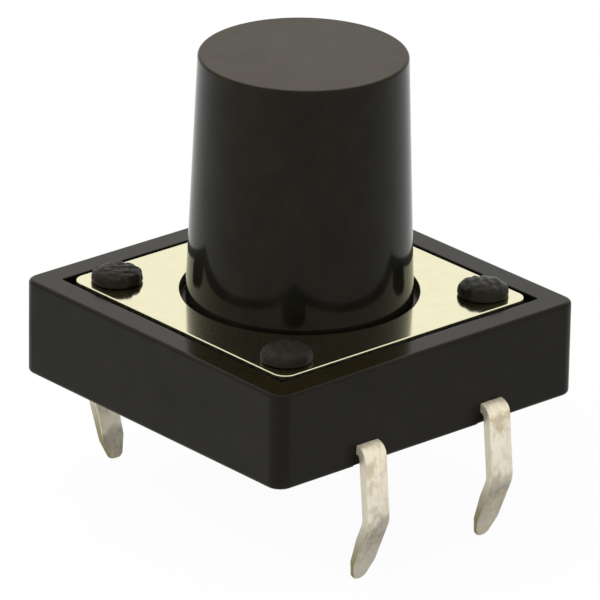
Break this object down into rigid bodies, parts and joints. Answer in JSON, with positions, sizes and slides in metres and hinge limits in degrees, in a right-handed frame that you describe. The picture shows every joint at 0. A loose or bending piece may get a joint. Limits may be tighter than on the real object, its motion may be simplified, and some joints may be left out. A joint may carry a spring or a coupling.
{
  "type": "tactile push button switch",
  "caption": "Square black push switch for a circuit board, with a staked steel cover, a tall tapered round button, cranked snap-in pins and a snap dome that closes the circuit.",
  "frame": {"origin": "centre of the housing's underside, on the plane of the circuit board", "axes": "+Z from the board towards the button's top; +X and -X are the two sides that the pins leave by; +Y towards the pins of the centre terminal"},
  "size_m": [0.0132, 0.012, 0.0145],
  "materials": {
    "housing_plastic": "semi-gloss moulded black",
    "plunger_plastic": "semi-gloss moulded black",
    "cover_steel": "bright rolled",
    "dome_steel": "bright spring steel",
    "plated_terminal": "silver plated brass"
  },
  "bodies": {
    "switch_base": {"base_housing": "housing_plastic", "cover_plate": "cover_steel", "contact_dome": "dome_steel", "centre_terminal": "plated_terminal", "outer_terminal": "plated_terminal"},
    "button": {"plunger": "plunger_plastic"}
  },
  "joints": [
    {"name": "plunger_press", "type": "slide", "parent": "switch_base", "child": "button", "axis": [0, 0, -1], "range_m": [0, 0.0003], "stiffness_N_per_m": 5300, "deforming": ["contact_dome"]}
  ]
}
